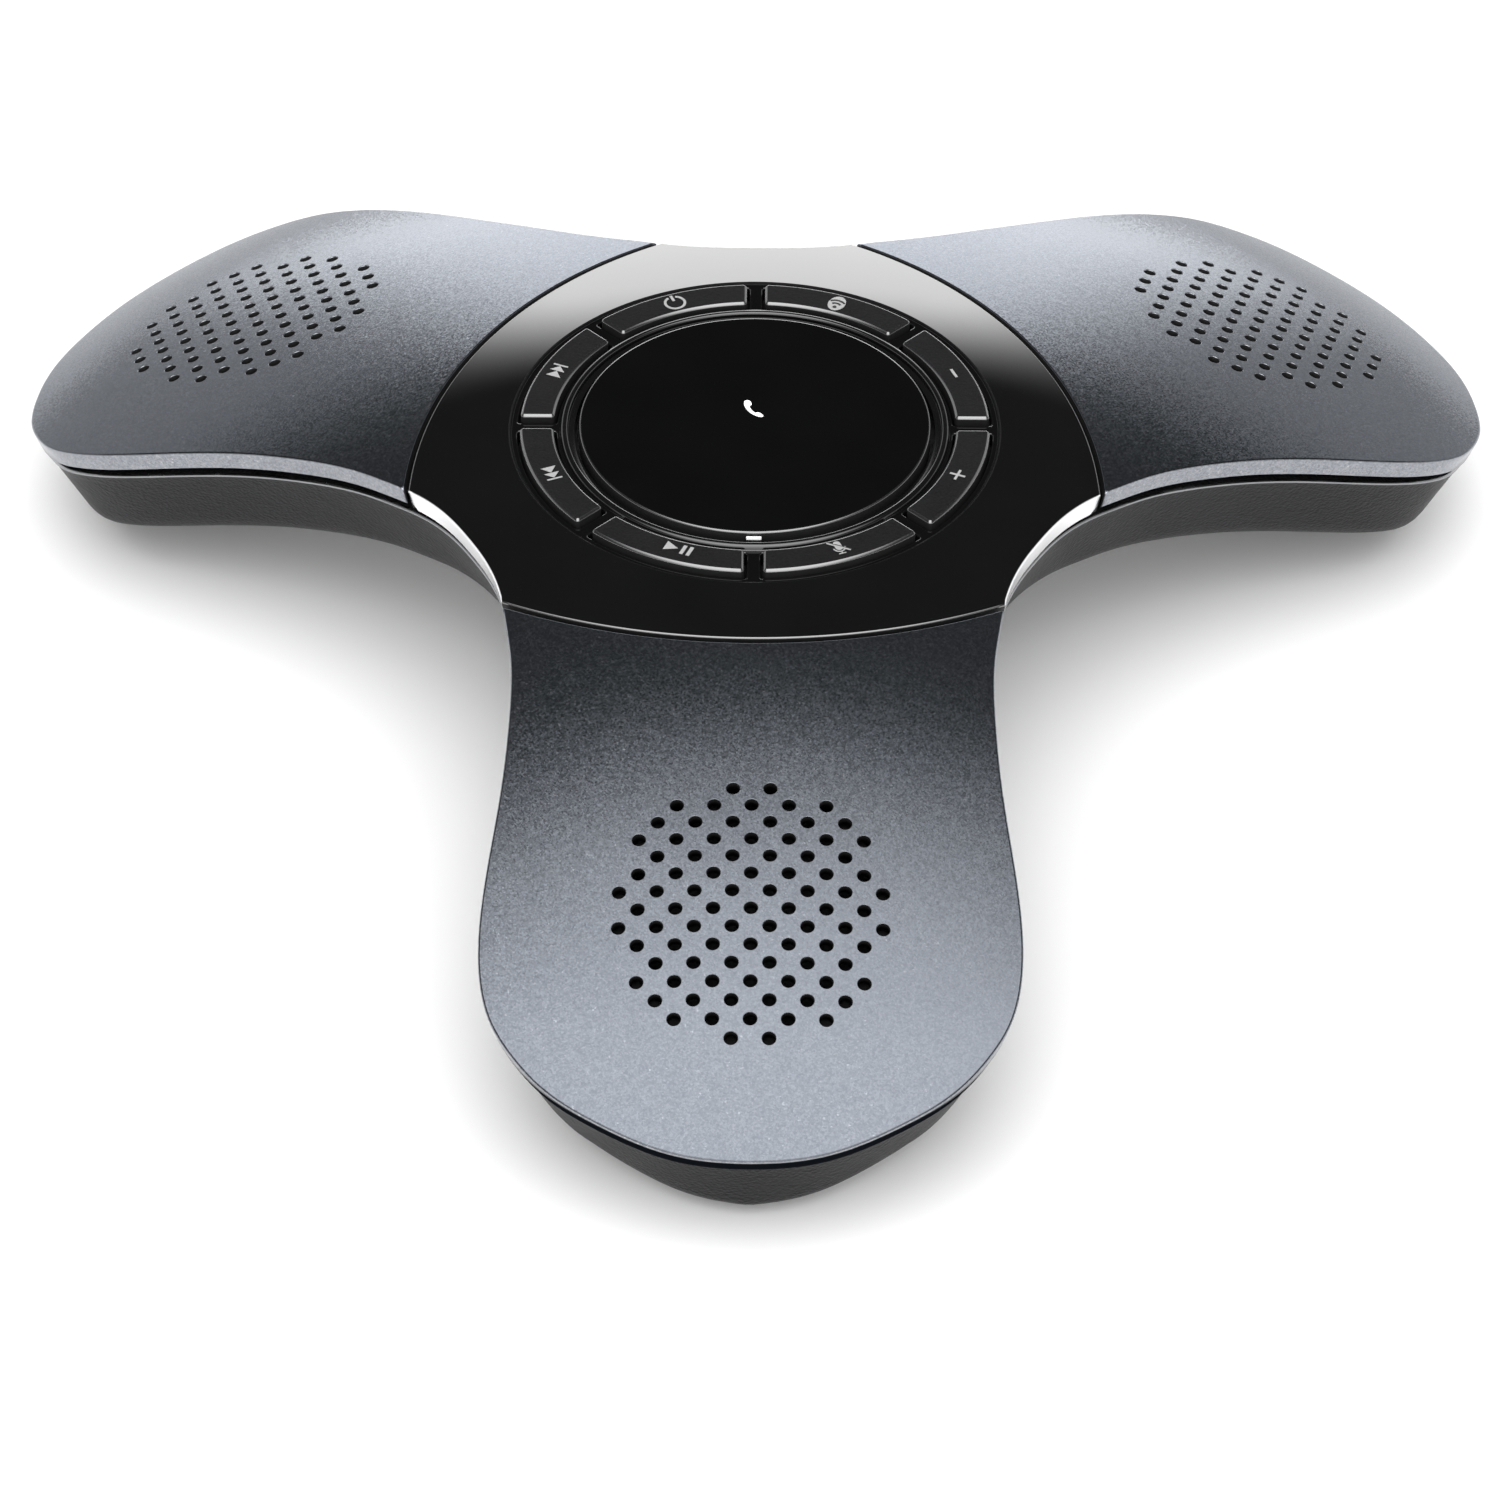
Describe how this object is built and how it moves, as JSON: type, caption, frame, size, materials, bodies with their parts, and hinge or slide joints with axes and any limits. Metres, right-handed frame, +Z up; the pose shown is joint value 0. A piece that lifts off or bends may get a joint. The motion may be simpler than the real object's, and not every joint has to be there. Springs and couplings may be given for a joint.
{
  "type": "conference speakerphone",
  "caption": "Three-armed table conference speakerphone with perforated speaker arms, a gloss hub, a large call button and a ring of sprung arc keys.",
  "frame": {"origin": "centre of the bounding box at the table surface, under the feet", "axes": "+Z up; -Y towards the front arm and the user; +X to the user's right; the charging socket faces +Y"},
  "size_m": [0.2466, 0.2257, 0.0525],
  "materials": {
    "casing_plastic": "fine spark-eroded texture, dark grey",
    "arm_paint": "satin metallic-flake paint over moulded plastic, bright side band",
    "deck_gloss": "high-gloss piano black",
    "key_plastic": "fine satin texture with polished bevels and light grey printed icons",
    "light_guide": "clear white light guide",
    "rubber": "matt rubber",
    "screw_steel": "zinc-plated steel",
    "speaker_steel": "pressed steel frame and magnet cup",
    "cone_paper": "coated cone with rubber surround",
    "board_laminate": "solder-masked glass laminate",
    "battery_pouch": "heat-shrink wrapped pouch cell",
    "socket_steel": "stamped steel shell",
    "mic_can": "capsule can on a rubber boot"
  },
  "bodies": {
    "housing": {"arm_cover_front": "arm_paint", "arm_cover_left": "arm_paint", "arm_cover_right": "arm_paint", "battery_pack": "battery_pouch", "casing_screw_front_1": "screw_steel", "casing_screw_front_2": "screw_steel", "casing_screw_front_3": "screw_steel", "casing_screw_left_1": "screw_steel", "casing_screw_left_2": "screw_steel", "casing_screw_left_3": "screw_steel", "casing_screw_right_1": "screw_steel", "casing_screw_right_2": "screw_steel", "casing_screw_right_3": "screw_steel", "center_deck": "deck_gloss", "charging_socket": "socket_steel", "foot_front": "rubber", "foot_left": "rubber", "foot_right": "rubber", "key_board": "board_laminate", "lower_casing": "casing_plastic", "main_board": "board_laminate", "microphone_front": "mic_can", "microphone_left": "mic_can", "microphone_right": "mic_can", "speaker_cone_front": "cone_paper", "speaker_cone_left": "cone_paper", "speaker_cone_right": "cone_paper", "speaker_frame_front": "speaker_steel", "speaker_frame_left": "speaker_steel", "speaker_frame_right": "speaker_steel", "speaker_gasket_front": "rubber", "speaker_gasket_left": "rubber", "speaker_gasket_right": "rubber", "status_light": "light_guide"},
    "call_button": {"call_button": "deck_gloss"},
    "mic_mute_key": {"mic_mute_key": "key_plastic"},
    "next_key": {"next_key": "key_plastic"},
    "pairing_key": {"pairing_key": "key_plastic"},
    "play_pause_key": {"play_pause_key": "key_plastic"},
    "power_key": {"power_key": "key_plastic"},
    "previous_key": {"previous_key": "key_plastic"},
    "volume_down_key": {"volume_down_key": "key_plastic"},
    "volume_up_key": {"volume_up_key": "key_plastic"}
  },
  "joints": [
    {"name": "call_button_press", "type": "slide", "parent": "housing", "child": "call_button", "axis": [0, 0, -1], "range_m": [0, 0.0006], "stiffness_N_per_m": 1500},
    {"name": "mic_mute_key_press", "type": "slide", "parent": "housing", "child": "mic_mute_key", "axis": [0, 0, -1], "range_m": [0, 0.0005], "stiffness_N_per_m": 1200},
    {"name": "next_key_press", "type": "slide", "parent": "housing", "child": "next_key", "axis": [0, 0, -1], "range_m": [0, 0.0005], "stiffness_N_per_m": 1200},
    {"name": "pairing_key_press", "type": "slide", "parent": "housing", "child": "pairing_key", "axis": [0, 0, -1], "range_m": [0, 0.0005], "stiffness_N_per_m": 1200},
    {"name": "play_pause_key_press", "type": "slide", "parent": "housing", "child": "play_pause_key", "axis": [0, 0, -1], "range_m": [0, 0.0005], "stiffness_N_per_m": 1200},
    {"name": "power_key_press", "type": "slide", "parent": "housing", "child": "power_key", "axis": [0, 0, -1], "range_m": [0, 0.0005], "stiffness_N_per_m": 1200},
    {"name": "previous_key_press", "type": "slide", "parent": "housing", "child": "previous_key", "axis": [0, 0, -1], "range_m": [0, 0.0005], "stiffness_N_per_m": 1200},
    {"name": "volume_down_key_press", "type": "slide", "parent": "housing", "child": "volume_down_key", "axis": [0, 0, -1], "range_m": [0, 0.0005], "stiffness_N_per_m": 1200},
    {"name": "volume_up_key_press", "type": "slide", "parent": "housing", "child": "volume_up_key", "axis": [0, 0, -1], "range_m": [0, 0.0005], "stiffness_N_per_m": 1200}
  ]
}
